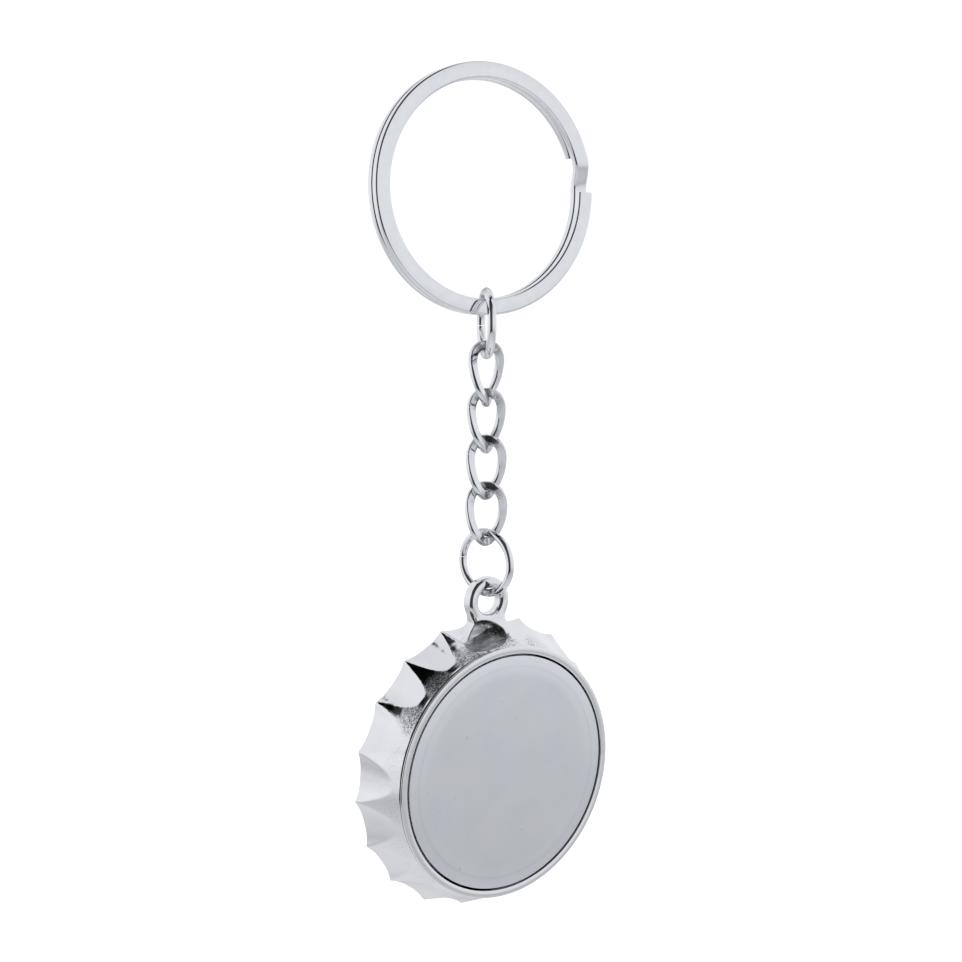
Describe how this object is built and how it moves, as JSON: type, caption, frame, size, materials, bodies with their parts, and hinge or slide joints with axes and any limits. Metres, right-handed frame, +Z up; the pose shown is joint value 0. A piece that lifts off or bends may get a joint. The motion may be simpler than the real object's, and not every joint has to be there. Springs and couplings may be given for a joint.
{
  "type": "keychain bottle opener",
  "caption": "Cap-shaped pocket bottle opener with a fluted skirt and a metal face disc, hung from a flat split ring by a short curb chain and two jump rings.",
  "frame": {"origin": "lowest point of the top of the split ring's bore, where a hook or finger holds it", "axes": "+Z up, the line everything hangs on; the opener's face disc looks along -Y and its hollow opener side along +Y; +X to the right seen from the face"},
  "size_m": [0.0376, 0.0091, 0.1053],
  "materials": {
    "chrome_wire": "bright nickel plate on the rings and links",
    "chrome_casting": "mirror plate on a zinc casting, a little rough in the recesses",
    "satin_disc": "fine satin, brushed straight up and down",
    "adhesive_film": "dark double-sided film"
  },
  "bodies": {
    "split_ring": {"split_ring": "chrome_wire"},
    "top_jump_ring": {"top_jump_ring": "chrome_wire"},
    "chain_link_1": {"chain_link_1": "chrome_wire"},
    "chain_link_2": {"chain_link_2": "chrome_wire"},
    "chain_link_3": {"chain_link_3": "chrome_wire"},
    "chain_link_4": {"chain_link_4": "chrome_wire"},
    "lower_jump_ring": {"lower_jump_ring": "chrome_wire"},
    "opener": {"opener_body": "chrome_casting", "adhesive_pad": "adhesive_film", "face_disc": "satin_disc"}
  },
  "joints": [
    {"name": "top_jump_ring_swing", "type": "hinge", "parent": "split_ring", "child": "top_jump_ring", "pos_m": [0.00033, 0, -0.02515], "axis": [0.4384, 0.8988, 0], "range_deg": [-60, 60]},
    {"name": "chain_link_1_swing", "type": "hinge", "parent": "top_jump_ring", "child": "chain_link_1", "pos_m": [0.00033, 0, -0.03164], "axis": [0.9397, -0.342, 0], "range_deg": [-90, 90]},
    {"name": "chain_link_2_swing", "type": "hinge", "parent": "chain_link_1", "child": "chain_link_2", "pos_m": [0.00033, 0, -0.03868], "axis": [-0.6691, -0.7431, 0], "range_deg": [-45, 45]},
    {"name": "chain_link_3_swing", "type": "hinge", "parent": "chain_link_2", "child": "chain_link_3", "pos_m": [0.00033, 0, -0.04324], "axis": [-0.788, 0.6157, 0], "range_deg": [-40, 40]},
    {"name": "chain_link_4_swing", "type": "hinge", "parent": "chain_link_3", "child": "chain_link_4", "pos_m": [0.00033, 0, -0.05028], "axis": [0.866, 0.5, 0], "range_deg": [-40, 40]},
    {"name": "lower_jump_ring_swing", "type": "hinge", "parent": "chain_link_4", "child": "lower_jump_ring", "pos_m": [0.00033, 0, -0.05608], "axis": [0.9272, 0.3746, 0], "range_deg": [-90, 90]},
    {"name": "opener_swing", "type": "hinge", "parent": "lower_jump_ring", "child": "opener", "pos_m": [0.00033, 0, -0.06262], "axis": [-0.2419, 0.9703, 0], "range_deg": [-90, 90]}
  ]
}
